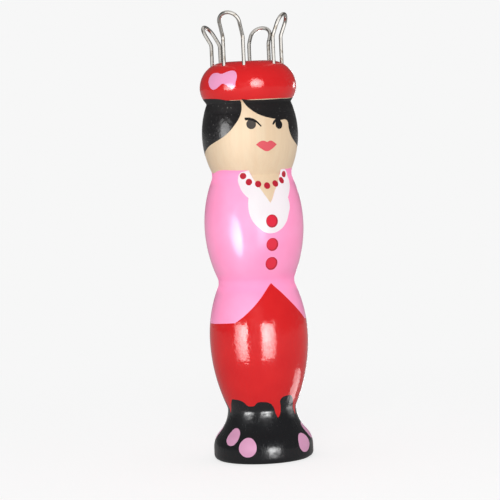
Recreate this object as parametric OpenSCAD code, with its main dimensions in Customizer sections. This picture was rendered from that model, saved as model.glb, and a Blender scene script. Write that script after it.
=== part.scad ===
// A knitting nancy: a small doll turned from one length of wooden dowel, with a bore right
// through it for the knitted cord, and four wire loops on its head that hold the stitches.
// It stands on z = 0 with its axis on Z and faces -Y. Left and right are as seen from its front.

/* [Boots] */
// Diameter of the boots at their widest
boots_d = 25.9; // [23:0.1:32]
// Height of the boots, from the base to the ankle
boots_h = 13.25; // [11:0.05:18]
// Height of the boots' widest place above the base
toe_h = 3; // [2:0.1:5]
// Height of the boots' round part above that place, up to the hollow of the ankle
instep_h = 4; // [2:0.1:5]
// Rounding of the base's edge
sole_round = 1.3; // [0.4:0.1:1.9]
// Diameter of the ankle
ankle_d = 17.7; // [16:0.1:20]

/* [Skirt] */
// Height of the skirt, from the ankle to the waist
skirt_h = 33.05; // [26:0.05:40]
// Height of the skirt's widest place above the ankle
skirt_belly_h = 18.55; // [12:0.05:22]
// Diameter of the skirt at its widest
skirt_d = 25.6; // [22:0.1:32]
// Diameter of the waist
waist_d = 19.1; // [17:0.1:21]

/* [Jacket] */
// Height of the jacket, from the waist to the neck
jacket_h = 27.9; // [22:0.1:34]
// Height of the jacket's widest place above the waist
jacket_belly_h = 14.7; // [10:0.1:18]
// Diameter of the jacket at its widest
jacket_d = 25.7; // [22:0.1:32]
// Diameter of the neck
neck_d = 20; // [17:0.1:21.5]

/* [Head] */
// Height of the head, from the neck to the underside of the beret
head_h = 19.1; // [16:0.1:24]
// Height of the head's widest place above the neck
cheek_h = 10.4; // [7:0.1:13]
// Diameter of the head at its widest
head_d = 24.9; // [23:0.1:30]
// Diameter of the head under the beret
brow_d = 21.2; // [20:0.1:22]

/* [Beret] */
// Diameter of the beret at its widest
beret_d = 25; // [22:0.1:30]
// Height of the beret's widest place above its underside
beret_belly_h = 3.4; // [2:0.1:6]
// How far the beret's lower edge is drawn in from its widest place
beret_tuck = 1.2; // [0.6:0.1:1.8]
// Radius of the beret's round shoulder, which is also its height above the widest place
crown_r = 6.7; // [5:0.1:7.2]

/* [Bore] */
// Diameter of the bore that the knitted cord goes down
bore_d = 10; // [7:0.1:11]
// Chamfer at the two mouths of the bore
mouth_chamfer = 0.5; // [0.2:0.1:0.8]

/* [Wire loops] */
// Diameter of the wire
wire_d = 0.95; // [0.8:0.05:1.4]
// Distance between the two legs of a loop, from middle to middle
leg_gap = 5.5; // [4.5:0.1:6.5]
// Distance of each loop from the doll's axis
loop_circle_r = 8.6; // [8:0.1:9]
// Depth of the legs below the top of the beret
leg_depth = 12; // [8:0.5:20]
// Gap between a leg and the wall of its hole
hole_clearance = 0.02; // [0.01:0.01:0.1]
// Radius of the bend where a leg turns outward, at the middle of the wire
bend_r = 2.5; // [1.5:0.1:4]
// Height of the front loops' upright legs above the top of the beret
front_upright = 5.6; // [3:0.1:9]
// Height of the back loops' upright legs above the top of the beret
back_upright = 3.8; // [2:0.1:7]
// Length of the front left loop's leaning legs
front_left_run = 3.6; // [1:0.1:6]
// Length of the front right loop's leaning legs
front_right_run = 2.7; // [1:0.1:6]
// Length of the back left loop's leaning legs
back_left_run = 2.2; // [0.5:0.1:5]
// Length of the back right loop's leaning legs
back_right_run = 1.5; // [0.5:0.1:5]
// Outward lean of the front left loop, in degrees
front_left_lean_angle = 27; // [10:1:40]
// Outward lean of the front right loop, in degrees
front_right_lean_angle = 22; // [10:1:40]
// Outward lean of the back left loop, in degrees
back_left_lean_angle = 31; // [10:1:40]
// Outward lean of the back right loop, in degrees
back_right_lean_angle = 35; // [10:1:40]

/* [Hidden] */
$fn = 96;

// How far a cut runs past the surface that it opens
cut_over = 1;
// Height of the narrow floor at the bottom of each turned groove
floor_h = 1;
// How far the outlines beside a groove run in under its floor
floor_dip = 0.05;
// The step to which the turning templates' radii are rounded
template_step = 0.01;
// How far a straight run of wire reaches into the bend at its end
wire_lap = 0.15;
// How much thicker the wire is at a bend than along its straight runs
bend_swell = 0.02;

// Angles from the doll's front to each of the four loops
front_left_angle = -45;
front_right_angle = 45;
back_right_angle = 135;
back_left_angle = -135;

ankle_z = boots_h;
waist_z = ankle_z + skirt_h;
neck_z = waist_z + jacket_h;
brow_z = neck_z + head_h;
beret_z = brow_z + beret_belly_h;
body_h = beret_z + crown_r;

bend_d = wire_d + bend_swell;
hole_d = wire_d + 2 * hole_clearance;

function template_r(rise, drop) =
    round((rise ^ 2 + drop ^ 2) / (2 * drop) / template_step) * template_step;

// Half of a barrel's outline: an arc that stands upright where the barrel is widest and
// closes in to a smaller radius at another height
module swell(widest_d, widest_z, end_d, end_z) {
    rise = abs(end_z - widest_z);
    arc_r = template_r(rise, (widest_d - end_d) / 2);
    intersection() {
        translate([widest_d / 2 - arc_r, widest_z]) circle(arc_r);
        translate([0, min(widest_z, end_z)]) square([widest_d, rise]);
    }
}

// A whole barrel between two grooves, with both ends run in under the groove floors
module barrel(widest_d, widest_z, low_d, low_z, high_d, high_z) {
    swell(widest_d, widest_z, low_d - 2 * floor_dip, low_z);
    swell(widest_d, widest_z, high_d - 2 * floor_dip, high_z);
}

module groove_floor(groove_d, low_z) {
    translate([0, low_z]) square([groove_d / 2, floor_h]);
}

// The boots' outline: a rounded sole, a round toe and a hollow that runs up to the ankle.
// The two arcs share one slope where they meet.
module boots_outline() {
    boots_r = boots_d / 2;
    flare_h = boots_h - toe_h;
    slope = 2 * atan((boots_r - ankle_d / 2) / flare_h);
    toe_r = instep_h / sin(slope);
    hollow_r = (flare_h - instep_h) / sin(slope);
    hollow_x = ankle_d / 2 + hollow_r;

    translate([0, sole_round]) square([boots_r, toe_h - sole_round]);
    translate([boots_r - sole_round, sole_round]) circle(sole_round);
    square([boots_r - sole_round, toe_h]);
    intersection() {
        translate([boots_r - toe_r, toe_h]) circle(toe_r);
        translate([0, toe_h]) square([boots_d, instep_h]);
    }
    difference() {
        translate([0, toe_h + instep_h]) square([hollow_x, flare_h - instep_h]);
        translate([hollow_x, boots_h]) circle(hollow_r);
    }
}

// The beret's outline: closed in a little below its widest place, and round to its flat top
module beret_outline() {
    shoulder_x = beret_d / 2 - crown_r;
    swell(beret_d, beret_z, beret_d - 2 * beret_tuck, brow_z);
    translate([0, beret_z]) square([shoulder_x, crown_r]);
    intersection() {
        translate([shoulder_x, beret_z]) circle(crown_r);
        translate([shoulder_x, beret_z]) square(beret_d);
    }
}

// Half of the whole doll's outline, as the turner's template gives it
module doll_outline() {
    boots_outline();
    groove_floor(ankle_d, ankle_z);
    barrel(skirt_d, ankle_z + skirt_belly_h, ankle_d, ankle_z, waist_d, waist_z);
    groove_floor(waist_d, waist_z - floor_h / 2);
    barrel(jacket_d, waist_z + jacket_belly_h, waist_d, waist_z, neck_d, neck_z);
    groove_floor(neck_d, neck_z - floor_h / 2);
    swell(head_d, neck_z + cheek_h, neck_d - 2 * floor_dip, neck_z);
    swell(head_d, neck_z + cheek_h, brow_d, brow_z);
    beret_outline();
}

module bore() {
    mouth_d = bore_d + 2 * mouth_chamfer;
    translate([0, 0, -cut_over]) cylinder(h = body_h + 2 * cut_over, d = bore_d);
    cylinder(h = mouth_chamfer, d1 = mouth_d, d2 = bore_d);
    translate([0, 0, body_h - mouth_chamfer]) cylinder(h = mouth_chamfer, d1 = bore_d, d2 = mouth_d);
}

// Puts its children at the foot of each leg of the loop that stands at the given angle
module at_legs(angle) {
    for (side = [-1, 1])
        rotate([0, 0, angle])
            translate([side * leg_gap / 2, -loop_circle_r, body_h - leg_depth]) children();
}

module turned_body() {
    color("burlywood") difference() {
        rotate_extrude() doll_outline();
        bore();
        for (angle = [front_left_angle, front_right_angle, back_right_angle, back_left_angle])
            at_legs(angle) cylinder(h = leg_depth + cut_over, d = hole_d);
    }
}

// Puts its children on the axis of a loop's outward bend, with their X along the upright
// leg's radius, so that a turn by the lean's angle follows the bend
module on_bend(sideways, upright) {
    translate([sideways, -bend_r, upright]) rotate([90, 0, 90]) children();
}

// A loop bent from one wire: two legs that stand in their holes, bend outward and run on
// to a half-round top
module wire_loop(angle, upright, run, lean_angle) {
    color("silver") {
        at_legs(angle) cylinder(h = leg_depth + upright + wire_lap, d = wire_d);
        rotate([0, 0, angle]) translate([0, -loop_circle_r, body_h]) {
            for (side = [-1, 1])
                on_bend(side * leg_gap / 2, upright) {
                    rotate_extrude(angle = lean_angle) translate([bend_r, 0]) circle(d = bend_d);
                    rotate([0, 0, lean_angle]) translate([bend_r, -wire_lap, 0]) rotate([-90, 0, 0])
                        cylinder(h = run + 2 * wire_lap, d = wire_d);
                }
            on_bend(0, upright) rotate([0, 0, lean_angle]) translate([bend_r, run, 0]) rotate([0, -90, 0])
                rotate_extrude(angle = 180) translate([leg_gap / 2, 0]) circle(d = bend_d);
        }
    }
}

module loop_front_left() {
    wire_loop(front_left_angle, front_upright, front_left_run, front_left_lean_angle);
}

module loop_front_right() {
    wire_loop(front_right_angle, front_upright, front_right_run, front_right_lean_angle);
}

module loop_back_left() {
    wire_loop(back_left_angle, back_upright, back_left_run, back_left_lean_angle);
}

module loop_back_right() {
    wire_loop(back_right_angle, back_upright, back_right_run, back_right_lean_angle);
}

turned_body();
loop_front_left();
loop_front_right();
loop_back_left();
loop_back_right();
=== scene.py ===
# %% [markdown]
# # A painted knitting nancy
# A knitting nancy is a small turned doll with a bore down its middle and wire loops on its
# head that hold the stitches. The CAD frame already has the turning and the loops at their
# true sizes, so this lesson leaves both where they are and adds what a painter and a
# photographer would: thin coats of paint, the look of wood and wire, light and a camera.

import math

import bpy
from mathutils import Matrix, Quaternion, Vector


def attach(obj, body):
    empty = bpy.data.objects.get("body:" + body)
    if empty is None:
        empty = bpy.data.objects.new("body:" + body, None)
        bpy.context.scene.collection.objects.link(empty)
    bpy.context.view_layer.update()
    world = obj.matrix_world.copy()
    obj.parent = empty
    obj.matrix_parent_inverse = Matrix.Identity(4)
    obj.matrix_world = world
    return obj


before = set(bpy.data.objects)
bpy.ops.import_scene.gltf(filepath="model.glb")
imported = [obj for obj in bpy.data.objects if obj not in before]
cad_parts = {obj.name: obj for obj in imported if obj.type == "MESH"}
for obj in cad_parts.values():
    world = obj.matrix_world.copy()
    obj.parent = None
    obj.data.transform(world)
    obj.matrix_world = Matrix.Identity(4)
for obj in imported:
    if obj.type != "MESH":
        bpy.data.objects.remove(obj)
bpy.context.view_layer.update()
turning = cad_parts["turned_body"]
wire_loops = [node for name, node in sorted(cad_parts.items()) if name.startswith("loop_")]
mm = 0.001
print("frame:", sorted(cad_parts))

# %% [markdown]
# ## The camera
# The picture looks at the doll from a little to its right and slightly from above, from far
# enough away that the outline is almost free of perspective. Such a view can be set by hand
# until the edges agree, but it is quicker to write it as an angle round the doll, an angle
# above the floor and a distance. The doll leans a little in the picture, so the camera rolls.

# %% Camera
view_centre = Vector((0, 0, 54.2)) * mm
view_round = math.radians(-22.3)
view_above = math.radians(4)
view_distance = 560 * mm
view_roll = math.radians(-2.53)
view_wide = math.radians(13.27)
doll_right_of_middle, doll_below_middle = 1.33 * mm, 0.16 * mm

to_camera = Vector((
    math.sin(view_round) * math.cos(view_above),
    -math.cos(view_round) * math.cos(view_above),
    math.sin(view_above),
))
turn = to_camera.to_track_quat("Z", "Y") @ Quaternion((0, 0, 1), view_roll)
aside = turn @ Vector((-doll_right_of_middle, doll_below_middle, 0))
bpy.ops.object.select_all(action="DESELECT")
bpy.ops.object.camera_add(
    location=view_centre + to_camera * view_distance + aside, rotation=turn.to_euler(),
)
camera = bpy.context.object
camera.data.angle = view_wide
camera.data.clip_start = 10 * mm
bpy.context.scene.camera = camera
print("camera at", [round(v / mm) for v in camera.location], "mm, lens", round(camera.data.lens, 1))

# %% [markdown]
# ## The turner's template
# A turner holds a template of arcs against the work. The coats of paint have to follow the
# same arcs, so the template is written here once more with the sizes of the frame. A row of
# rays cast at the frame's own turning then shows that both agree.

# %% Sizes of the turning, in mm
sole_round, boots_r, toe_z, toe_r, instep_z = 1.3, 12.95, 3.0, 5.8, 7.0
hollow_r, ankle_r, ankle_z = 9.0625, 8.85, 13.25
skirt_r, skirt_z, waist_r, waist_z = 12.8, 31.8, 9.55, 46.3
jacket_r, jacket_z, neck_r, neck_z = 12.85, 61.0, 10.0, 74.2
head_r, head_z, brow_r, brow_z = 12.45, 84.6, 10.6, 93.3
rim_r, beret_r, beret_z, crown_r = 11.3, 12.5, 96.7, 6.7
groove_dip, groove_half = 0.05, 0.5
top_z, bore_r, mouth_chamfer = beret_z + crown_r, 5.0, 0.5
groove_floors = ((ankle_r, ankle_z + groove_half), (waist_r, waist_z), (neck_r, neck_z))
print("the turning is", round(top_z, 2), "mm tall without its loops")


# %% Radius at a height
def arc_in(widest, widest_z, end, end_z, z):
    """Radius at height z of an arc that stands upright where it is widest."""
    rise, drop = end_z - widest_z, widest - end
    sweep = (rise**2 + drop**2) / (2 * drop)
    return widest - sweep + math.sqrt(sweep**2 - (z - widest_z) ** 2)


def barrel(widest, widest_z, low, low_z, high, high_z, z):
    """Radius at height z of a barrel with a narrow end below and above."""
    end, end_z = (low, low_z) if z < widest_z else (high, high_z)
    return arc_in(widest, widest_z, end, end_z, z)


def turned_radius(z):
    """Radius of the turning at height z, both in mm."""
    if z < sole_round:
        return boots_r - sole_round + math.sqrt(sole_round**2 - (sole_round - z) ** 2)
    if z < toe_z:
        return boots_r
    if z < instep_z:
        return boots_r - toe_r + math.sqrt(toe_r**2 - (z - toe_z) ** 2)
    if z < ankle_z:
        return ankle_r + hollow_r - math.sqrt(hollow_r**2 - (ankle_z - z) ** 2)
    dip = groove_dip
    if z < waist_z:
        r = barrel(skirt_r, skirt_z, ankle_r - dip, ankle_z, waist_r - dip, waist_z, z)
    elif z < neck_z:
        r = barrel(jacket_r, jacket_z, waist_r - dip, waist_z, neck_r - dip, neck_z, z)
    elif z < brow_z:
        r = barrel(head_r, head_z, neck_r - dip, neck_z, brow_r, brow_z, z)
    elif z < beret_z:
        r = arc_in(beret_r, beret_z, rim_r, brow_z, z)
    else:
        r = beret_r - crown_r + math.sqrt(max(0, crown_r**2 - (z - beret_z) ** 2))
    for floor_r, floor_z in groove_floors:
        if abs(z - floor_z) <= groove_half:
            r = max(r, floor_r)
    return r


# %% Compare template and frame
first_ray, ray_step, rays = 2.1, 0.5, 202
outside, inward = 30, Vector((-1, 0, 0))
worst = 0
for ray_z in (first_ray + ray_step * ray for ray in range(rays)):
    _, place, _, _ = turning.ray_cast(Vector((outside, 0, ray_z)) * mm, inward)
    worst = max(worst, abs(place.x / mm - turned_radius(ray_z)))
print("template and frame differ by at most", round(worst, 3), "mm")

# %% [markdown]
# ## A former for the paint
# Paint lies on the wood like a skin, but it also runs together in the grooves and rounds
# them off. To press a skin on, Blender's Shrinkwrap needs a target with that surface, so the
# template with rounded grooves is drawn as a line and spun round the axis. The line is drawn
# as by hand: one vertex that is extruded from point to point. The former is only a tool, and
# it is deleted once the coats are on.

# %% Where the paint lies
pools = ((ankle_z + groove_half, 0.7), (waist_z, 1.4), (neck_z, 1.4))
pool_steps = 6
corner_low, corner_high, corner_end = 92.85, 93.25, brow_z + 0.1
corner_fill = 0.06


def painted_radius(z):
    """Radius at height z under the paint, which rounds the grooves and the beret's corner."""
    for groove_z, pool in pools:
        reach = pool - abs(z - groove_z) / 2
        if reach > 0:
            steps = range(-pool_steps, pool_steps + 1)
            return sum(turned_radius(z + reach * n / pool_steps) for n in steps) / len(steps)
    if corner_low < z < corner_end:
        share = min(1, (z - corner_low) / (corner_high - corner_low))
        low = turned_radius(corner_low)
        return max(turned_radius(z), low + share * (rim_r + corner_fill - low))
    return turned_radius(z)


filled = painted_radius(waist_z) - turned_radius(waist_z)
print("paint fills the waist's groove by", round(filled, 2), "mm")


# %% Draw a line
def draw_line(name, points):
    """A chain of edges in the XZ plane through points given as (radius, height) in mm."""
    bpy.ops.object.select_all(action="DESELECT")
    bpy.ops.mesh.primitive_plane_add(size=mm)
    line = bpy.context.object
    line.name = name
    bpy.ops.object.mode_set(mode="EDIT")
    bpy.ops.mesh.merge(type="CENTER")
    here = Vector((0, 0, 0))
    for n, (radius, height) in enumerate(points):
        there = Vector((radius, 0, height)) * mm
        if n == 0:
            bpy.ops.transform.translate(value=there - here)
        else:
            bpy.ops.mesh.extrude_vertices_move(TRANSFORM_OT_translate={"value": there - here})
        here = there
    bpy.ops.object.mode_set(mode="OBJECT")
    return line


# %% Spin it round
spin_steps = 240
seam_gap = 0.002 * mm


def merge_and_turn_out(gap):
    """In edit mode, merges points that lie closer than a gap and turns all faces outward."""
    bpy.ops.mesh.select_all(action="SELECT")
    bpy.ops.mesh.remove_doubles(threshold=gap)
    bpy.ops.mesh.normals_make_consistent(inside=False)


def spin_round():
    """Spins the line that was just drawn once round the doll's axis and closes the seam."""
    bpy.ops.object.mode_set(mode="EDIT")
    bpy.ops.mesh.select_all(action="SELECT")
    bpy.ops.mesh.spin(steps=spin_steps, angle=2 * math.pi, center=(0, 0, 0), axis=(0, 0, 1))
    merge_and_turn_out(seam_gap)
    bpy.ops.object.mode_set(mode="OBJECT")


former_step = 0.3
sole_turns = (math.radians(degrees) for degrees in range(0, 90, 6))
sole_heights = [sole_round * (1 - math.cos(angle)) for angle in sole_turns]
rows = int((top_z - sole_round) / former_step)
heights = sole_heights + [sole_round + former_step * row for row in range(rows)]
former = draw_line("former", [(painted_radius(z), z) for z in heights])
spin_round()
print("former:", len(former.data.polygons), "faces")

# %% [markdown]
# ## How a coat is cut and pressed on
# Painted shapes could be drawn straight on a round doll, but their edges are easier to see
# on a flat sheet. So each coat is cut like a paper label: a smooth outline in degrees round
# the doll and millimetres of height, a fine sheet, and a Boolean that keeps what lies inside
# the outline. Simple Deform then rolls the label up, Shrinkwrap presses it on the former,
# and Solidify gives it the thickness of paint, with its inner side just under the wood.

# %% Draw the outlines
roll_r = 12.5 * mm
sheet_t = 1 * mm
curve_steps = 8
outline_gap = 0.001 * mm


def along(degrees):
    """Where an angle round the doll lies on the flat sheet."""
    return math.radians(degrees) * roll_r


def draw_outlines(name, outlines):
    """Closed outlines of (degrees, mm) points as one thick cutter. A third value marks a corner."""
    bpy.ops.object.select_all(action="DESELECT")
    bpy.ops.curve.primitive_bezier_circle_add()
    cutter = bpy.context.object
    cutter.name = name
    cutter.data.splines.clear()
    for outline in outlines:
        spline = cutter.data.splines.new("BEZIER")
        spline.bezier_points.add(len(outline) - 1)
        for point, (degrees, height, *corner) in zip(spline.bezier_points, outline):
            point.co = (along(degrees), height * mm, 0)
            point.handle_left_type = point.handle_right_type = "VECTOR" if corner else "AUTO"
        spline.use_cyclic_u = True
        spline.resolution_u = curve_steps
    cutter.data.dimensions = "2D"
    cutter.data.fill_mode = "BOTH"
    cutter.data.extrude = 2 * sheet_t
    bpy.ops.object.convert(target="MESH")
    bpy.ops.object.mode_set(mode="EDIT")
    merge_and_turn_out(outline_gap)
    bpy.ops.object.mode_set(mode="OBJECT")
    return cutter


print("once round the doll is", round(along(360) / mm, 1), "mm on the sheet")

# %% Make a sheet of small cells
label_gap = 0.02 * mm


def fine_sheet(name, left, right, low, high, cell):
    """A flat sheet of small cells between four edges, thick enough for a Boolean."""
    wide, tall = right - left, high - low
    bpy.ops.object.select_all(action="DESELECT")
    bpy.ops.mesh.primitive_grid_add(
        x_subdivisions=round(wide / cell), y_subdivisions=round(tall / cell), size=1,
        location=((left + right) / 2, (low + high) / 2, 0),
    )
    sheet = bpy.context.object
    sheet.name = name
    sheet.scale = (wide, tall, 1)
    bpy.ops.object.transform_apply(location=True, rotation=True, scale=True)
    bpy.ops.object.mode_set(mode="EDIT")
    bpy.ops.mesh.select_all(action="SELECT")
    bpy.ops.mesh.extrude_region_move(TRANSFORM_OT_translate={"value": (0, 0, sheet_t)})
    bpy.ops.mesh.select_all(action="SELECT")
    bpy.ops.mesh.normals_make_consistent(inside=False)
    bpy.ops.object.mode_set(mode="OBJECT")
    return sheet


def keep_top(sheet):
    """Leaves only the upper side of a thick sheet and lays it at height 0."""
    bpy.ops.object.mode_set(mode="EDIT")
    bpy.ops.mesh.select_mode(type="FACE")
    bpy.ops.object.mode_set(mode="OBJECT")
    for face in sheet.data.polygons:
        face.select = face.normal.z < 0.5
    bpy.ops.object.mode_set(mode="EDIT")
    bpy.ops.mesh.delete(type="FACE")
    bpy.ops.mesh.select_all(action="SELECT")
    bpy.ops.mesh.remove_doubles(threshold=label_gap)
    bpy.ops.transform.translate(value=(0, 0, -sheet_t))
    bpy.ops.object.mode_set(mode="OBJECT")


# %% Cut a label
def cut_label(name, outlines, cell, all_round):
    """A flat sheet of small cells, cut to the outlines."""
    cutter = draw_outlines(name + "_cutter", outlines)
    low, high = Vector(cutter.bound_box[0]), Vector(cutter.bound_box[6])
    left, right = low.x - cell, high.x + cell
    if all_round:
        left, right = along(-180), along(180)
    label = fine_sheet(name, left, right, low.y - cell, high.y + cell, cell)
    cut = label.modifiers.new("cut", "BOOLEAN")
    cut.operation, cut.solver, cut.object = "INTERSECT", "EXACT", cutter
    bpy.ops.object.modifier_apply(modifier="cut")
    bpy.data.objects.remove(cutter)
    keep_top(label)
    return label


# %% Roll it and press it on
def press_on(label):
    """Rolls a flat label round the doll's axis and presses it on the former."""
    label.rotation_euler = (math.pi / 2, 0, 0)
    bpy.ops.object.transform_apply(location=True, rotation=True, scale=True)
    roll = label.modifiers.new("roll", "SIMPLE_DEFORM")
    roll.deform_method, roll.deform_axis = "BEND", "Z"
    roll.angle = label.dimensions.x / roll_r
    bpy.ops.object.modifier_apply(modifier="roll")
    label.location.y = -roll_r
    bpy.ops.object.transform_apply(location=True, rotation=True, scale=True)
    bpy.ops.object.mode_set(mode="EDIT")
    bpy.ops.mesh.select_all(action="SELECT")
    bpy.ops.mesh.remove_doubles(threshold=label_gap)
    bpy.ops.mesh.dissolve_degenerate(threshold=label_gap)
    bpy.ops.object.mode_set(mode="OBJECT")
    press = label.modifiers.new("press", "SHRINKWRAP")
    press.target, press.wrap_method = former, "PROJECT"
    press.use_negative_direction = press.use_positive_direction = True
    bpy.ops.object.modifier_apply(modifier="press")


# %% Give it the thickness of paint
sunk = 0.03
smooth_below = math.radians(40)


def give_film(skin, film):
    """Makes a skin on the wood as thick as a film of paint, in mm, with its inner side sunk in."""
    thick = skin.modifiers.new("film", "SOLIDIFY")
    thick.thickness = (film + sunk) * mm
    thick.offset = (film - sunk) / (film + sunk)
    bpy.ops.object.modifier_apply(modifier="film")
    bpy.ops.object.shade_smooth_by_angle(angle=smooth_below)


def put_on(skin, film):
    """Gives a skin its film of paint and lets it ride on the doll."""
    give_film(skin, film)
    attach(skin, "root")
    low, high = (round(skin.bound_box[corner][2] / mm, 2) for corner in (0, 6))
    print(skin.name + ":", len(skin.data.polygons), "faces, from", low, "to", high, "mm high")
    return skin


def coat(name, outlines, film, cell=0.5, all_round=False):
    """One coat of paint from its outlines."""
    label = cut_label(name, outlines, cell * mm, all_round)
    press_on(label)
    return put_on(label, film)


def spun_coat(name, line, film):
    """A coat spun from a line of (radius, height) points on the wood."""
    skin = draw_line(name, line)
    spin_round()
    return put_on(skin, film)


# %% [markdown]
# ## Beret and skirt
# These two coats are plain bands that go right round, and the beret's also covers the flat
# top, where no label could be pressed on sideways. So they are spun from a line, as the
# former was, and Solidify closes them. The beret's line starts just above its lower edge and
# ends in the chamfer of the bore.

# %% Beret
beret_film, beret_edge = 0.03, brow_z + 0.22
belly_step, belly_rows = 0.4, 8
belly_heights = [beret_edge + belly_step * row for row in range(belly_rows)]
belly = [(turned_radius(z), z) for z in belly_heights]
crown_rows = 20
crown = [
    (beret_r - crown_r + crown_r * math.cos(angle), beret_z + crown_r * math.sin(angle))
    for angle in (math.pi / 2 * row / crown_rows for row in range(crown_rows + 1))
]
chamfer_left = 0.05
mouth = [
    (bore_r + mouth_chamfer, top_z), (bore_r + chamfer_left, top_z - mouth_chamfer + chamfer_left),
]
beret_coat = spun_coat("beret_coat", belly + crown + mouth, beret_film)

# %% Skirt
skirt_film, skirt_low, skirt_high = 0.02, 10.6, 47.4
skirt_line = [(painted_radius(z), z) for z in heights if skirt_low < z < skirt_high]
skirt_coat = spun_coat("skirt_coat", skirt_line, skirt_film)

# %% [markdown]
# ## Hair
# The hair is a black bob with a parting over one eye. It goes right round the head, so it is
# cut from one sheet as long as the doll is round, with the two sides of the parting as two
# outlines that run off both ends of the sheet and meet at the back. On the left the black
# goes over the beret's edge. From the parting on it stops just short of the beret, and a
# thin line of bare wood is left.

# %% Hair
first_film = 0.045
past_end = 184
hair_left_side = [
    (-past_end, 93.6, 1), (-172, 93.6, 1), (-150, 93.7), (-110, 94.0), (-75, 94.1), (-62, 93.95),
    (-53, 93.6), (-45, 93.42), (-33.4, 93.42, 1), (-31.9, 92.0), (-32.6, 90.2), (-35.7, 88.6),
    (-40.5, 87.2), (-46.2, 85.8), (-55, 84.4), (-67, 83.2), (-82, 82.0), (-98, 80.6),
    (-120, 79.1), (-150, 78.2), (-172, 78, 1), (-past_end, 78, 1),
]
hair_right_side = [
    (-31.2, 93.75, 1), (-25.8, 92.1), (-19.6, 90.9), (-11.9, 89.8), (-4.2, 89.1), (3.9, 88.6),
    (10.8, 88.3), (17.2, 88.0), (28.4, 87.9), (31.0, 87.2), (30.9, 86.2), (32.0, 85.1),
    (35.8, 83.7), (42.7, 82.5), (52, 81.6), (70, 80.4), (95, 79.2), (130, 78.3), (172, 78, 1),
    (past_end, 78, 1), (past_end, 93.6, 1), (172, 93.6, 1), (120, 93.6), (60, 93.55), (46, 93.4),
    (36, 93.34), (26, 93.38), (15, 93.33), (6, 93.3), (-8, 93.3), (-20, 93.36),
]
hair_coat = coat(
    "hair_coat", [hair_left_side, hair_right_side], first_film, all_round=True,
)

# %% [markdown]
# ## Jacket and collar
# The jacket is a pink band with a pointed opening at the neck and another in the hem, where
# the skirt shows. The collar is a white bib with a lobe on each shoulder. It is a second
# coat on top of the jacket, so its film is thicker and ends on the same neck opening.

# %% Jacket
neck_opening = [
    (-26.5, 75.5, 1), (-22.2, 73.8), (-12.9, 70.9), (-7.4, 69.1), (-1.4, 67.0, 1),
    (1.9, 68.0), (6.4, 69.8), (15, 72.0), (21, 73.8), (24.3, 75.4, 1),
]
left_neckline = [
    (-past_end, 75.3, 1), (-172, 75.3, 1), (-120, 75.2), (-92, 74.9), (-78, 75.5), (-66, 75.75),
    (-52, 75.65),
]
right_neckline = [
    (37, 75.3), (60, 75.3), (120, 75.3), (172, 75.3, 1), (past_end, 75.3, 1),
]
hem = [
    (past_end, 36.0, 1), (172, 36.0, 1), (120, 36.0), (75, 36.1), (52, 36.3, 1), (41, 38.2),
    (25, 41.4), (12.2, 44.1), (-0.4, 46.4, 1), (-9.1, 44.7), (-18.6, 42.5), (-31.9, 39.7),
    (-44.4, 37.5), (-51, 36.6, 1), (-65.6, 36.4), (-85.6, 36.1), (-130, 35.9), (-172, 36.0, 1),
    (-past_end, 36.0, 1),
]
jacket_outline = left_neckline + neck_opening + right_neckline + hem
jacket_coat = coat("jacket_coat", [jacket_outline], first_film, all_round=True)

# %% Collar
second_film = 0.07
collar_edge = [
    (-34.2, 75.2), (-38.9, 74.9), (-42.2, 73.4), (-38.6, 71.2), (-33.8, 69.7), (-27.8, 68.5, 1),
    (-28.3, 66.8), (-27.3, 64.7), (-22.9, 62.3), (-16.1, 60.7), (-9.7, 59.6), (-2.2, 59.3),
    (7.6, 59.9), (16.9, 61.7), (22.4, 64.0), (25.9, 65.8), (25.7, 68.1, 1), (31, 69.5),
    (37.2, 71.4), (39.5, 73.4), (35, 75.0),
]
collar_outline = list(reversed(neck_opening)) + collar_edge
collar_coat = coat("collar_coat", [collar_outline], second_film, cell=0.35)

# %% [markdown]
# ## Boots and their spots
# The boots' black coat ends in round arches between points where the red of the skirt runs
# down. A point is a corner of the outline, and the arches are its smooth stretches. Below,
# the coat goes round the sole's edge and stops just above the floor. Pink spots lie on it,
# by turns a round one low down and a smaller one higher up.

# %% Boots
arches = [
    (-past_end, 13.0, 1), (-177, 13.0, 1), (-172, 15.2), (-162, 16.5), (-151, 15.6),
    (-140, 12.4, 1), (-133, 14.6), (-119, 16.4), (-106, 15.9), (-96, 14.2),
    (-90, 12.3, 1), (-82.4, 14.1), (-75.2, 15.7), (-71.3, 16.4, 1), (-64.2, 16.4), (-56.4, 16.25),
    (-49.4, 15.6), (-46.1, 14.9), (-43.8, 14.66, 1), (-35.5, 14.7, 1), (-33.4, 14.9),
    (-31.6, 15.27), (-27.85, 15.72), (-20.65, 15.8), (-11.7, 15.5), (-6.5, 14.8), (-2.3, 13.7),
    (0.8, 12.2), (3.6, 11.3, 1), (7.6, 11.9), (9.9, 13.15), (8.6, 14.5), (6.4, 15.65),
    (8.7, 16.55), (14.4, 16.9), (20.4, 17.0), (25.7, 16.8), (30.5, 16.1), (36.7, 14.5), (44, 12.5),
    (48.5, 11.1, 1), (54, 13.2), (63, 16.0), (75, 16.6), (86, 15.2),
    (94, 12.6, 1), (101, 15.0), (114, 16.5), (127, 15.4),
    (136, 12.2, 1), (143, 14.9), (156, 16.6), (169, 15.9), (176, 13.0, 1), (past_end, 13.0, 1),
]
sole_edge = 0.06
boots_outline = arches + [(past_end, sole_edge, 1), (-past_end, sole_edge, 1)]
boots_coat = coat(
    "boots_coat", [boots_outline], first_film, cell=0.33, all_round=True,
)

# %% Spots
def oval(degrees, height, half_wide, half_tall, points=8):
    """An oval outline at a place on the doll, with half its width and height in mm."""
    reach = math.degrees(half_wide / turned_radius(height))
    return [
        (degrees + reach * math.cos(a), height + half_tall * math.sin(a))
        for a in (2 * math.pi * n / points for n in range(points))
    ]


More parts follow.
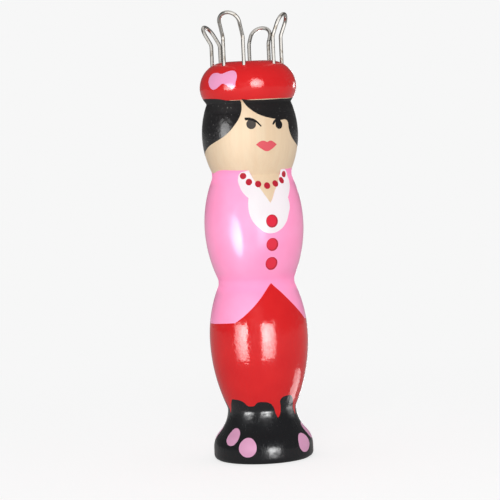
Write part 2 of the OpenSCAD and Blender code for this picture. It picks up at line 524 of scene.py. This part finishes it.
low_spot, high_spot = (4.4, 2.4, 2.4), (6.8, 1.95, 2.1)
spot_places = [
    (-64.7, high_spot), (-41.4, low_spot), (33.5, low_spot), (60.5, high_spot), (92, low_spot),
    (120, high_spot), (150, low_spot), (-116, high_spot), (-142, low_spot), (-168, high_spot),
]
spot_outlines = [oval(degrees, *spot) for degrees, spot in spot_places]
boot_spots = coat("boot_spots", spot_outlines, second_film, cell=0.3)

# %% [markdown]
# ## Bow, eyes and lips
# The small shapes on the beret and the face are single strokes of a fine brush. They are
# cut with smaller cells, because a stroke is only half a millimetre wide. The lids go over
# the eyes, so their film is a little thicker.

# %% Bow
bow_film = 0.06
bow_outline = [
    (-57, 100.3), (-66.3, 100.6), (-74.5, 100.2), (-77, 99.0), (-74.5, 97.5), (-69.4, 96.5),
    (-64.1, 96.5), (-58.1, 97.2), (-53.7, 97.8), (-49.3, 97.5), (-44.8, 96.8), (-39, 96.6),
    (-36.7, 98.1), (-35.8, 99.9), (-38.3, 100.7), (-44.1, 101.0), (-50.1, 100.7),
]
bow = coat("bow", [bow_outline], bow_film, cell=0.3)

# %% Eyes
stroke_film, lid_film, stroke_cell = 0.035, 0.04, 0.2
left_lid = [
    (-28.3, 88.95, 1), (-21.8, 88.9), (-15, 88.3), (-8.2, 86.75, 1), (-8.9, 86.45, 1),
    (-15.5, 87.7), (-21.8, 88.2), (-27.7, 88.3, 1),
]
right_lid = [
    (5.6, 87.0, 1), (7.8, 87.8), (12, 88.35), (18, 88.6, 1), (18, 87.8, 1), (12.4, 87.7),
    (9, 87.2), (6.9, 86.8, 1),
]
left_iris, right_iris = oval(-20.5, 87.25, 1.23, 1.25), oval(14.9, 86.85, 1.07, 1.15)
eye_lids = coat("eye_lids", [left_lid, right_lid], lid_film, stroke_cell)
left_eye = coat("left_eye", [left_iris], stroke_film, stroke_cell)
right_eye = coat("right_eye", [right_iris], stroke_film, stroke_cell)

# %% Lips
lips_outline = [
    (-15.9, 82.0, 1), (-10.8, 82.75), (-6.2, 82.9), (-2.2, 82.5, 1), (2.2, 82.85), (6.9, 82.4),
    (10.5, 81.8, 1), (4.4, 80.75), (-2.1, 80.2), (-9.5, 80.9),
]
lips = coat("lips", [lips_outline], stroke_film, stroke_cell)

# %% [markdown]
# ## Necklace and buttons
# Beads and buttons are dots set down with the round end of a stick. They lie on the collar
# or on bare wood, so their film is the thickest of all. The stick was never quite upright,
# so a dot is a little taller than it is wide. A button is drawn as two dots: a dark one whose
# rim is painted shade at the button's edge, and a smaller bright one, moved up and towards
# the light, that is a painted highlight on the button's top.

# %% Necklace
dot_film = 0.095
bead_size = (0.8, 0.82)
bead_places = [
    (-34.9, 74.1), (-26.8, 72.5), (-14.5, 71.9), (-2.5, 71.4), (10.2, 71.8), (22.2, 72.5),
    (30.1, 74.0),
]
beads = [oval(*place, *bead_size) for place in bead_places]
necklace = coat("necklace", beads, dot_film, cell=0.2)

# %% Buttons
# The dark rims are painted shade round each button's edge; the bright centres, shifted up and
# towards the light, are a painted highlight.
shade_rim_film = 0.08
shade_rim_size, lit_centre_size = (1.6, 1.68), (1.32, 1.4)
lit_shift_round, lit_shift_up = -0.6, 0.1
button_places = [(-1.2, 62.4), (-1.5, 56.4), (-1.8, 51.5)]
shade_rims = [oval(*place, *shade_rim_size) for place in button_places]
button_shade_rims = coat("button_shade_rims", shade_rims, shade_rim_film, cell=0.25)
lit_centres = [oval(degrees + lit_shift_round, z + lit_shift_up, *lit_centre_size) for degrees, z in button_places]
buttons = coat("buttons", lit_centres, dot_film, cell=0.25)
bpy.data.objects.remove(former)

# %% [markdown]
# ## Shared effects
# Every painted surface shows the same things: marks of the brush with a slight wobble of
# the paint that flowed out under it, pale specks, and a loss of shine in the grooves,
# where dirt stays. The specks are dust, and on the black hair, where they are denser, they
# are also painted glints where its highlight breaks up. Each is a node group that is built
# once and placed in every paint with its own values. All read Object coordinates in metres,
# so a factor of 1000 is one cell a millimetre.

# %% Node helpers
number, vector = "NodeSocketFloat", "NodeSocketVector"


def add_node(tree, kind, values=None, **settings):
    """A new node with its settings, and with values for its named sockets."""
    made = tree.nodes.new(kind)
    for key, value in settings.items():
        setattr(made, key, value)
    for key, value in (values or {}).items():
        made.inputs[key].default_value = value
    return made


def join(tree, *wires):
    """Links nodes. A wire is a node, its output, the next node and its input."""
    for source, output, target, entry in wires:
        tree.links.new(source.outputs[output], target.inputs[entry])


def start_group(name, inputs, outputs):
    """A new shader node group with its named sockets."""
    group = bpy.data.node_groups.new(name, "ShaderNodeTree")
    for label, kind, value in inputs:
        socket = group.interface.new_socket(label, in_out="INPUT", socket_type=kind)
        if value is not None:
            socket.default_value = value
    for label, kind in outputs:
        group.interface.new_socket(label, in_out="OUTPUT", socket_type=kind)
    return group, group.nodes.new("NodeGroupInput"), group.nodes.new("NodeGroupOutput")


# %% Brush marks
brush_marks, given, put_out = start_group(
    "brush_marks",
    [
        ("Position", vector, None), ("Stretch", vector, (60, 60, 1700)),
        ("Stroke Lift", number, 0.005), ("Wobble Per Metre", number, 1000),
        ("Wobble Lift", number, 0.028),
    ],
    [("Tone", number), ("Streak", number), ("Height", number)],
)
stretched = add_node(brush_marks, "ShaderNodeVectorMath", operation="MULTIPLY")
strokes = add_node(brush_marks, "ShaderNodeTexNoise", {"Scale": 1, "Detail": 2})
clouds = add_node(brush_marks, "ShaderNodeTexNoise", {"Scale": 190, "Detail": 2})
wobble = add_node(brush_marks, "ShaderNodeTexNoise", {"Detail": 1})
raised = add_node(brush_marks, "ShaderNodeMath", operation="MULTIPLY")
height = add_node(brush_marks, "ShaderNodeMath", operation="MULTIPLY_ADD")
join(
    brush_marks,
    (given, "Position", stretched, 0),
    (given, "Stretch", stretched, 1),
    (stretched, "Vector", strokes, "Vector"),
    (given, "Position", clouds, "Vector"),
    (given, "Position", wobble, "Vector"),
    (given, "Wobble Per Metre", wobble, "Scale"),
    (wobble, 0, raised, 0),
    (given, "Wobble Lift", raised, 1),
    (strokes, 0, height, 0),
    (given, "Stroke Lift", height, 1),
    (raised, 0, height, 2),
    (clouds, 0, put_out, "Tone"),
    (strokes, 0, put_out, "Streak"),
    (height, 0, put_out, "Height"),
)
print("brush marks:", len(brush_marks.nodes), "nodes")

# %% Specks
speck_edge = 14
specks, given, put_out = start_group(
    "specks",
    [("Position", vector, None), ("Per Metre", number, 1500), ("Level", number, 0.72)],
    [("Mask", number)],
)
dust_and_glint = add_node(specks, "ShaderNodeTexNoise", {"Detail": 4, "Roughness": 0.65})
above = add_node(specks, "ShaderNodeMath", operation="SUBTRACT")
sharp = add_node(specks, "ShaderNodeMath", {1: speck_edge}, operation="MULTIPLY", use_clamp=True)
join(
    specks,
    (given, "Position", dust_and_glint, "Vector"),
    (given, "Per Metre", dust_and_glint, "Scale"),
    (dust_and_glint, 0, above, 0),
    (given, "Level", above, 1),
    (above, 0, sharp, 0),
    (sharp, 0, put_out, "Mask"),
)
print("specks:", len(specks.nodes), "nodes")

# %% Dull grooves
dull_to, shiny_from = 1.2 * mm, 3 * mm
dull_grooves, given, put_out = start_group(
    "dull_grooves",
    [("Position", vector, None), ("Low Groove", number, -1), ("High Groove", number, 1)],
    [("Shine", number)],
)
split = add_node(dull_grooves, "ShaderNodeSeparateXYZ")
nearest = add_node(dull_grooves, "ShaderNodeMath", operation="MINIMUM")
shine = add_node(
    dull_grooves, "ShaderNodeMapRange", {"From Min": dull_to, "From Max": shiny_from},
    interpolation_type="SMOOTHSTEP",
)
join(dull_grooves, (given, "Position", split, 0))
for end, groove in enumerate(("Low Groove", "High Groove")):
    apart = add_node(dull_grooves, "ShaderNodeMath", operation="SUBTRACT")
    size = add_node(dull_grooves, "ShaderNodeMath", operation="ABSOLUTE")
    join(
        dull_grooves,
        (split, "Z", apart, 0),
        (given, groove, apart, 1),
        (apart, 0, size, 0),
        (size, 0, nearest, end),
    )
join(dull_grooves, (nearest, 0, shine, "Value"), (shine, "Result", put_out, "Shine"))
print("dull grooves:", len(dull_grooves.nodes), "nodes")

# %% [markdown]
# ## Paints
# All the paints are the same gloss enamel in other colours. Where the brush left less, the
# colour is a little different, so each has a full and a thin tone. The marks also change
# the roughness and, as a very small bump, break up the edges of the highlights. Pink and
# white flowed out smoothly, so their shine is a clear coat, which the bump doesn't touch and
# which is missing in the grooves.

# %% Colours and materials
def seen(red, green, blue):
    """A colour as it is seen on a screen, from 0 to 255, turned into the shader's own values."""
    parts = [value / 255 for value in (red, green, blue)]
    return [v / 12.92 if v <= 0.04045 else ((v + 0.055) / 1.055) ** 2.4 for v in parts] + [1]


def start_material(name):
    """A new material, with its node tree, its shader and a node for the place on the piece."""
    material = bpy.data.materials.new(name)
    material.use_nodes = True
    tree = material.node_tree
    return material, tree, tree.nodes["Principled BSDF"], add_node(tree, "ShaderNodeTexCoord")


def finish(piece, material):
    """Gives a piece or a CAD node its material."""
    piece.data.materials.clear()
    piece.data.materials.append(material)


# %% Gloss paint
groove_rough, dull_specular = 0.65, 0.1


def gloss_paint(
    name, full, thin, speck, level=0.74, rough=(0.1, 0.15), marks=None, grooves=(), clear=None,
):
    """Gloss enamel with brush marks, specks where a noise passes a level (dust, and on the black
    also painted glints), and grooves given in mm.

    With a roughness for its clear coat, the coat shines in place of the paint."""
    paint, tree, shader, place = start_material(name)
    groove_heights = dict(zip(("Low Groove", "High Groove"), (z * mm for z in grooves)))
    brushed = add_node(tree, "ShaderNodeGroup", marks, node_tree=brush_marks)
    dust_and_glint_specks = add_node(tree, "ShaderNodeGroup", {"Level": level}, node_tree=specks)
    grooved = add_node(tree, "ShaderNodeGroup", groove_heights, node_tree=dull_grooves)
    tone = add_node(tree, "ShaderNodeMix", {"A": full, "B": thin}, data_type="RGBA")
    flecked = add_node(tree, "ShaderNodeMix", {"B": speck}, data_type="RGBA")
    streaky = {"From Min": 0.3, "From Max": 0.7, "To Min": rough[0], "To Max": rough[1]}
    shine = add_node(tree, "ShaderNodeMapRange", streaky)
    worn = add_node(tree, "ShaderNodeMix", {"A": groove_rough}, data_type="FLOAT")
    bump = add_node(tree, "ShaderNodeBump", {"Distance": mm})
    join(
        tree,
        (place, "Object", brushed, "Position"),
        (place, "Object", dust_and_glint_specks, "Position"),
        (place, "Object", grooved, "Position"),
        (brushed, "Tone", tone, "Factor"),
        (tone, "Result", flecked, "A"),
        (dust_and_glint_specks, "Mask", flecked, "Factor"),
        (flecked, "Result", shader, "Base Color"),
        (brushed, "Streak", shine, "Value"),
        (grooved, "Shine", worn, "Factor"),
        (shine, "Result", worn, "B"),
        (worn, "Result", shader, "Roughness"),
        (brushed, "Height", bump, "Height"),
        (bump, "Normal", shader, "Normal"),
    )
    if clear:
        shader.inputs["Specular IOR Level"].default_value = dull_specular
        shader.inputs["Coat Roughness"].default_value = clear
        join(tree, (grooved, "Shine", shader, "Coat Weight"))
    return paint


# %% Mix the paints
satin, half_gloss, soft_gloss = (0.4, 0.5), (0.34, 0.44), (0.2, 0.28)
red = gloss_paint(
    "red_gloss", seen(219, 26, 32), seen(233, 40, 40), seen(240, 94, 90), 0.79, (0.12, 0.17),
    marks={"Stroke Lift": 0.012, "Wobble Per Metre": 750, "Wobble Lift": 0.06},
)
pink = gloss_paint(
    "pink_gloss", seen(254, 144, 190), seen(255, 160, 205), seen(255, 200, 222), 0.79, satin,
    marks={"Stroke Lift": 0.001, "Wobble Lift": 0.01}, grooves=(waist_z, neck_z), clear=0.22,
)
white = gloss_paint(
    "white_gloss", seen(243, 239, 241), seen(244, 233, 238), seen(232, 222, 226), 0.76, satin,
    grooves=(waist_z, neck_z), clear=0.19,
)
# The black's pale specks are set denser: dust, and painted glints where the hair's highlight breaks
# up.
black = gloss_paint(
    "black_gloss", seen(24, 24, 27), seen(36, 33, 33), seen(150, 150, 146), 0.65, soft_gloss,
    marks={"Wobble Per Metre": 1500, "Wobble Lift": 0.06}, grooves=(brow_z - 0.4,),
)
boot_black = gloss_paint(
    "boot_black_gloss", seen(22, 23, 26), seen(30, 30, 32), seen(120, 120, 120), 0.75, soft_gloss,
    marks={"Stretch": (1500, 1500, 160), "Stroke Lift": 0.05, "Wobble Lift": 0.05},
)
mauve = gloss_paint(
    "mauve_gloss", seen(219, 152, 190), seen(233, 171, 206), seen(244, 204, 225), 0.7, half_gloss,
)
rose = gloss_paint("rose_gloss", seen(248, 160, 205), seen(252, 178, 217), seen(254, 214, 234), 0.7)
coral = gloss_paint("coral_gloss", seen(222, 71, 86), seen(236, 100, 109), seen(243, 146, 148))
charcoal = gloss_paint(
    "charcoal_thin", seen(70, 66, 64), seen(96, 88, 82), seen(120, 112, 104), 0.72,
)
# Crimson is the beads' own colour; on the button rims the same crimson is painted shade at the
# button's edge.
crimson_and_button_shade = gloss_paint(
    "crimson_and_button_shade_gloss", seen(184, 31, 52), seen(200, 42, 61), seen(220, 88, 100), 0.76,
)
# The buttons' brighter red is their paint with a painted highlight in it.
button_red_and_highlight = gloss_paint(
    "button_red_and_highlight_gloss", seen(229, 38, 65), seen(240, 52, 73), seen(246, 114, 121), 0.76,
)
print("glosses:", sorted(paint.name for paint in bpy.data.materials if "gloss" in paint.name))

# %% Paint the coats
finishes = (
    (beret_coat, red), (skirt_coat, red), (necklace, crimson_and_button_shade), (button_shade_rims, crimson_and_button_shade),
    (buttons, button_red_and_highlight), (jacket_coat, pink), (bow, rose), (boot_spots, mauve),
    (collar_coat, white), (hair_coat, black), (boots_coat, boot_black), (eye_lids, black),
    (right_eye, black), (left_eye, charcoal), (lips, coral),
)
for piece, paint in finishes:
    finish(piece, paint)
print("painted:", [(piece.name, paint.name) for piece, paint in finishes])

# %% [markdown]
# ## Wood and wire
# The face is bare wood under clear lacquer, with its grain running up the doll, because the
# doll is turned along the grain. Noise that is stretched along Z gives long fibres, and a
# finer one gives pores. The loops are drawn steel wire, bright, with a faint tarnish. The
# group for brush marks can give all of these streaks, so it is used again with other values.

# %% Lacquered wood
pore_depth = 0.07
wood, tree, shader, place = start_material("lacquered_wood")
fibres = add_node(tree, "ShaderNodeGroup", {"Stretch": (700, 700, 14)}, node_tree=brush_marks)
pores = add_node(
    tree, "ShaderNodeGroup", {"Stretch": (2600, 2600, 130), "Wobble Lift": 0.004},
    node_tree=brush_marks,
)
grain = add_node(
    tree, "ShaderNodeMix", {"A": seen(239, 207, 170), "B": seen(247, 224, 192)}, data_type="RGBA",
)
pored = add_node(
    tree, "ShaderNodeMix", {"Factor": pore_depth}, data_type="RGBA", blend_type="MULTIPLY",
)
shine = add_node(tree, "ShaderNodeMapRange", {"To Min": 0.3, "To Max": 0.42})
bump = add_node(tree, "ShaderNodeBump", {"Distance": mm})
join(
    tree,
    (place, "Object", fibres, "Position"),
    (place, "Object", pores, "Position"),
    (fibres, "Streak", grain, "Factor"),
    (grain, "Result", pored, "A"),
    (pores, "Streak", pored, "B"),
    (pored, "Result", shader, "Base Color"),
    (pores, "Streak", shine, "Value"),
    (shine, "Result", shader, "Roughness"),
    (pores, "Height", bump, "Height"),
    (bump, "Normal", shader, "Normal"),
)
finish(turning, wood)
print("wood on", turning.name)

# %% Steel wire
wire, tree, shader, place = start_material("drawn_wire")
shader.inputs["Metallic"].default_value = 1
drawn = add_node(
    tree, "ShaderNodeGroup", {"Stretch": (3500, 3500, 260), "Wobble Lift": 0.004},
    node_tree=brush_marks,
)
dull = add_node(tree, "ShaderNodeGroup", {"Per Metre": 700, "Level": 0.56}, node_tree=specks)
metal = add_node(
    tree, "ShaderNodeMix", {"A": seen(204, 200, 194), "B": seen(168, 158, 146)}, data_type="RGBA",
)
shine = add_node(tree, "ShaderNodeMapRange", {"To Min": 0.1, "To Max": 0.24})
bump = add_node(tree, "ShaderNodeBump", {"Distance": mm})
join(
    tree,
    (place, "Object", drawn, "Position"),
    (place, "Object", dull, "Position"),
    (dull, "Mask", metal, "Factor"),
    (metal, "Result", shader, "Base Color"),
    (drawn, "Streak", shine, "Value"),
    (shine, "Result", shader, "Roughness"),
    (drawn, "Height", bump, "Height"),
    (bump, "Normal", shader, "Normal"),
)
for loop in wire_loops:
    finish(loop, wire)
print("wire on", [loop.name for loop in wire_loops])

# %% [markdown]
# ## Light
# Shading and shine are lit apart. A large soft key from the front gives the shading, weaker
# ones lift the back, and three on the jacket keep its pink bright to the edges. None of them
# leaves a highlight. Strips close to the doll give the upright highlights on each part, and
# large cards give the soft shine of the wire. A strip stands at about twice the angle of its
# highlight and shines through a grid. So close and so narrow, it can't graze the far sides,
# and the outline stays clear from behind. Light linking keeps each strip on its own pieces,
# as flags between the lamps would in a studio.

# %% Lamp helpers
def round_doll(around, away):
    """A place beside the axis, at an angle from the camera in degrees and a distance in mm."""
    angle = view_round + math.radians(around)
    return Vector((math.sin(angle), -math.cos(angle), 0)) * away * mm


def lamp_at(name, around, away, wide, span, level, faced=0):
    """An upright area light with its lower and upper edge as a span in mm.

    It faces the doll's axis, or the place of its highlight at a faced radius in mm, which is
    halfway round to the camera."""
    low, high = span
    beside = round_doll(around, away)
    middle = beside + Vector((0, 0, (low + high) / 2 * mm))
    facing = (beside - round_doll(around / 2, faced)).to_track_quat("Z", "Y")
    bpy.ops.object.light_add(type="AREA", location=middle, rotation=facing.to_euler())
    lamp = bpy.context.object
    lamp.name = name
    lamp.data.shape, lamp.data.size, lamp.data.size_y = "RECTANGLE", wide * mm, (high - low) * mm
    lamp.data.energy = level * math.pi * wide * mm * (high - low) * mm
    lamp.visible_camera = False
    return lamp


def keep_on(lamp, pieces):
    """Lets a lamp light only some pieces."""
    receivers = bpy.data.collections.new(lamp.name + "_pieces")
    for piece in pieces:
        receivers.objects.link(piece)
    lamp.light_linking.receiver_collection = receivers


# %% Soft lamps
whole_doll = [turning] + wire_loops + [piece for piece, _ in finishes]
jacket_and_collar = [jacket_coat, collar_coat]
soft_wide, soft_away, soft_low = 320, 600, 20
for name, around, shade, pieces in (
    ("key", -3, 0.6, None),
    ("back_right", 125, 0.25, whole_doll),
    ("back_left", -160, 0.25, whole_doll),
    ("jacket_right_side", 72, 0.17, jacket_and_collar),
    ("jacket_left_side", -78, 0.12, jacket_and_collar),
    ("jacket_front", -26, 0.18, [jacket_coat]),
):
    level = shade * math.pi * (soft_away / soft_wide) ** 2
    lamp = lamp_at(name, around, soft_away, soft_wide, (soft_low, soft_low + soft_wide), level)
    lamp.visible_glossy = False
    if pieces:
        keep_on(lamp, pieces)
    print(name, "shades at", shade)


# %% Strips
def strip(
    name, pieces, around, away, wide, span, level,
    grid=180, faced=0, lean=0, roll=0, shape="RECTANGLE",
):
    """A strip that only shines back from some pieces, at a level where 1 is white.

    It can lean back and roll, and a grid on it narrows its spread, all in degrees."""
    lamp = lamp_at(name, around, away, wide, span, level, faced)
    lamp.data.shape = shape
    lamp.rotation_euler.x += math.radians(lean)
    lamp.rotation_euler.rotate_axis("Z", math.radians(roll))
    lamp.data.spread = math.radians(grid)
    half = lamp.data.spread / 2
    lamp.data.energy *= 1 - half / math.tan(half)
    lamp.visible_diffuse = False
    keep_on(lamp, pieces)
    print(name, "shines on", len(pieces), "pieces")


# %% Strips for skirt and boots
skin_r = 12.5
boots_side = [boots_coat, boot_spots]
strip(
    "skirt_left", [skirt_coat], around=-33, away=27, wide=12, span=(22, 38.5), level=19, grid=60,
)
strip(
    "skirt_right", [skirt_coat], around=17.6, away=27, wide=12.5, span=(22, 38.5), level=22,
    grid=56,
)
strip(
    "skirt_low", [skirt_coat, boots_coat], around=95, away=28, wide=14, span=(0.5, 18), level=3.8,
    grid=90, faced=skin_r, lean=35, shape="ELLIPSE",
)
strip("boots_left", boots_side, around=-38.5, away=20, wide=7, span=(9, 12.6), level=40, grid=56)
strip("boots_right", boots_side, around=7, away=20, wide=7, span=(9, 12.6), level=25, grid=56)
strip("toe_card", [boots_coat], around=18, away=32, wide=10.5, span=(0.3, 13), level=28, grid=46)
strip("spot_glow", [boot_spots], around=-11, away=26, wide=14, span=(4, 14), level=8, grid=60)

# %% Strips for jacket and head
jacket_side = [jacket_coat, collar_coat, necklace, button_shade_rims, buttons]
strip(
    "jacket_left", jacket_side, around=-34, away=26, wide=10, span=(47, 67), level=17,
    grid=58, lean=10, roll=14, shape="ELLIPSE",
)
strip(
    "jacket_right", jacket_side, around=14, away=38, wide=12, span=(47, 63), level=8.5,
    grid=45, faced=skin_r, lean=5,
)
strip(
    "jacket_glow", [jacket_coat], around=-23, away=26, wide=36, span=(30, 86), level=2.3,
    grid=105, faced=skin_r,
)
strip(
    "face_glow", [turning], around=-25, away=30, wide=46, span=(56, 106), level=3.6,
    grid=100, faced=skin_r,
)
strip(
    "hair_left", [hair_coat], around=-48, away=28, wide=9.5, span=(82, 92), level=11,
    grid=60, faced=skin_r,
)
strip(
    "beret_left", [beret_coat, bow], around=-36.4, away=27, wide=11.5, span=(92.5, 103), level=14,
    grid=56, shape="ELLIPSE",
)
strip(
    "beret_right", [beret_coat], around=17, away=27, wide=11, span=(94, 108.5), level=14,
    grid=58, lean=-15, shape="ELLIPSE",
)
strip(
    "beret_rim", [beret_coat], around=139, away=150, wide=30, span=(84, 108), level=4,
    shape="ELLIPSE",
)
strip("back_strip", whole_doll, around=165, away=45, wide=10, span=(4, 104), level=6)

# %% Cards for the wire
front_loops = [loop for loop in wire_loops if "front" in loop.name]
back_loops = [loop for loop in wire_loops if "back" in loop.name]
strip("front_card", front_loops, around=12, away=150, wide=600, span=(0, 330), level=1.3)
strip("back_card", back_loops, around=-10, away=150, wide=600, span=(0, 330), level=0.9)
strip("top_card", wire_loops, around=180, away=50, wide=300, span=(130, 430), level=0.6, lean=-90)

# %% [markdown]
# ## Background and floor
# The background is white. Rays from the camera see a white world, and so do mirrored rays
# that go on past the doll, while the rest of the room is dimmer. The floor takes the doll's
# shadow and fades into that white further out, so that no horizon shows. A curved sheet of
# paper would do the same, but it would have an edge in other views.

# %% World
white_level, room_level, fill_level = 0.93, 0.13, 0.48
backdrop_edge, backdrop_full = 0.955, 0.995
world = bpy.data.worlds.new("white_room")
world.use_nodes = True
bpy.context.scene.world = world
tree = world.node_tree
background = tree.nodes["Background"]
background.inputs["Color"].default_value = (1, 1, 1, 1)
ray = add_node(tree, "ShaderNodeLightPath")
direction = add_node(tree, "ShaderNodeTexCoord")
behind = add_node(tree, "ShaderNodeVectorMath", {1: -to_camera}, operation="DOT_PRODUCT")
backdrop = add_node(
    tree, "ShaderNodeMapRange",
    {
        "From Min": backdrop_edge, "From Max": backdrop_full,
        "To Min": room_level, "To Max": white_level,
    },
    interpolation_type="SMOOTHSTEP",
)
mirrored = add_node(tree, "ShaderNodeMath", operation="MAXIMUM")
shown = add_node(tree, "ShaderNodeMath", operation="MAXIMUM")
shown_level = add_node(tree, "ShaderNodeMix", {"B": white_level}, data_type="FLOAT")
room = add_node(tree, "ShaderNodeMix", {"A": fill_level}, data_type="FLOAT")
join(
    tree,
    (direction, "Generated", behind, 0),
    (behind, "Value", backdrop, "Value"),
    (ray, "Is Glossy Ray", mirrored, 0),
    (ray, "Is Transmission Ray", mirrored, 1),
    (ray, "Is Camera Ray", shown, 0),
    (mirrored, 0, shown, 1),
    (ray, "Is Camera Ray", shown_level, "Factor"),
    (backdrop, "Result", shown_level, "A"),
    (shown, 0, room, "Factor"),
    (shown_level, "Result", room, "B"),
    (room, "Result", background, "Strength"),
)
bpy.context.scene.view_settings.view_transform = "Standard"
print("world: white at", white_level, "and a room at", room_level, "that fills at", fill_level)

# %% Floor
floor_r, floor_drop = 4, 0.02 * mm
bpy.ops.object.select_all(action="DESELECT")
bpy.ops.mesh.primitive_circle_add(
    vertices=96, radius=floor_r, fill_type="NGON", location=(0, 0, -floor_drop),
)
floor = bpy.context.object
floor.name = "floor"
bpy.ops.object.transform_apply(location=True, rotation=True, scale=True)
print("floor: a disc with a radius of", floor_r, "m")

# %% White paper for the floor
fade_from, fade_to = 0.03, 0.22
mirror_share, bounce_share, near_share = 0.15, 0.3, 0.7
paper, tree, shader, place = start_material("white_paper")
shader.inputs["Base Color"].default_value = seen(170, 170, 170)
shader.inputs["Roughness"].default_value = 0.9
shader.inputs["Emission Color"].default_value = (1, 1, 1, 1)
ray = add_node(tree, "ShaderNodeLightPath")
distance = add_node(tree, "ShaderNodeVectorMath", operation="LENGTH")
far = add_node(
    tree, "ShaderNodeMapRange", {"From Min": fade_from, "From Max": fade_to},
    interpolation_type="SMOOTHSTEP",
)
glow = add_node(tree, "ShaderNodeEmission", {"Strength": white_level})
mirrored = add_node(tree, "ShaderNodeMath", operation="MAXIMUM")
dimmed = add_node(tree, "ShaderNodeMath", {1: mirror_share}, operation="MULTIPLY")
bounced = add_node(tree, "ShaderNodeMath", {1: bounce_share}, operation="MULTIPLY_ADD")
shown = add_node(tree, "ShaderNodeMath", operation="MAXIMUM")
fade = add_node(tree, "ShaderNodeMath", operation="MULTIPLY")
near_lift = add_node(tree, "ShaderNodeMath", {1: near_share}, operation="MULTIPLY")
mixed = add_node(tree, "ShaderNodeMixShader")
join(
    tree,
    (place, "Object", distance, 0),
    (distance, "Value", far, "Value"),
    (ray, "Is Glossy Ray", mirrored, 0),
    (ray, "Is Transmission Ray", mirrored, 1),
    (mirrored, 0, dimmed, 0),
    (ray, "Is Diffuse Ray", bounced, 0),
    (dimmed, 0, bounced, 2),
    (ray, "Is Camera Ray", shown, 0),
    (bounced, 0, shown, 1),
    (shown, 0, near_lift, 0),
    (near_lift, 0, shader, "Emission Strength"),
    (shown, 0, fade, 0),
    (far, "Result", fade, 1),
    (fade, 0, mixed, "Fac"),
    (shader, "BSDF", mixed, 1),
    (glow, "Emission", mixed, 2),
    (mixed, "Shader", tree.nodes["Material Output"], "Surface"),
)
floor.data.materials.append(paper)
print("paper fades to white from", fade_from, "to", fade_to, "m")
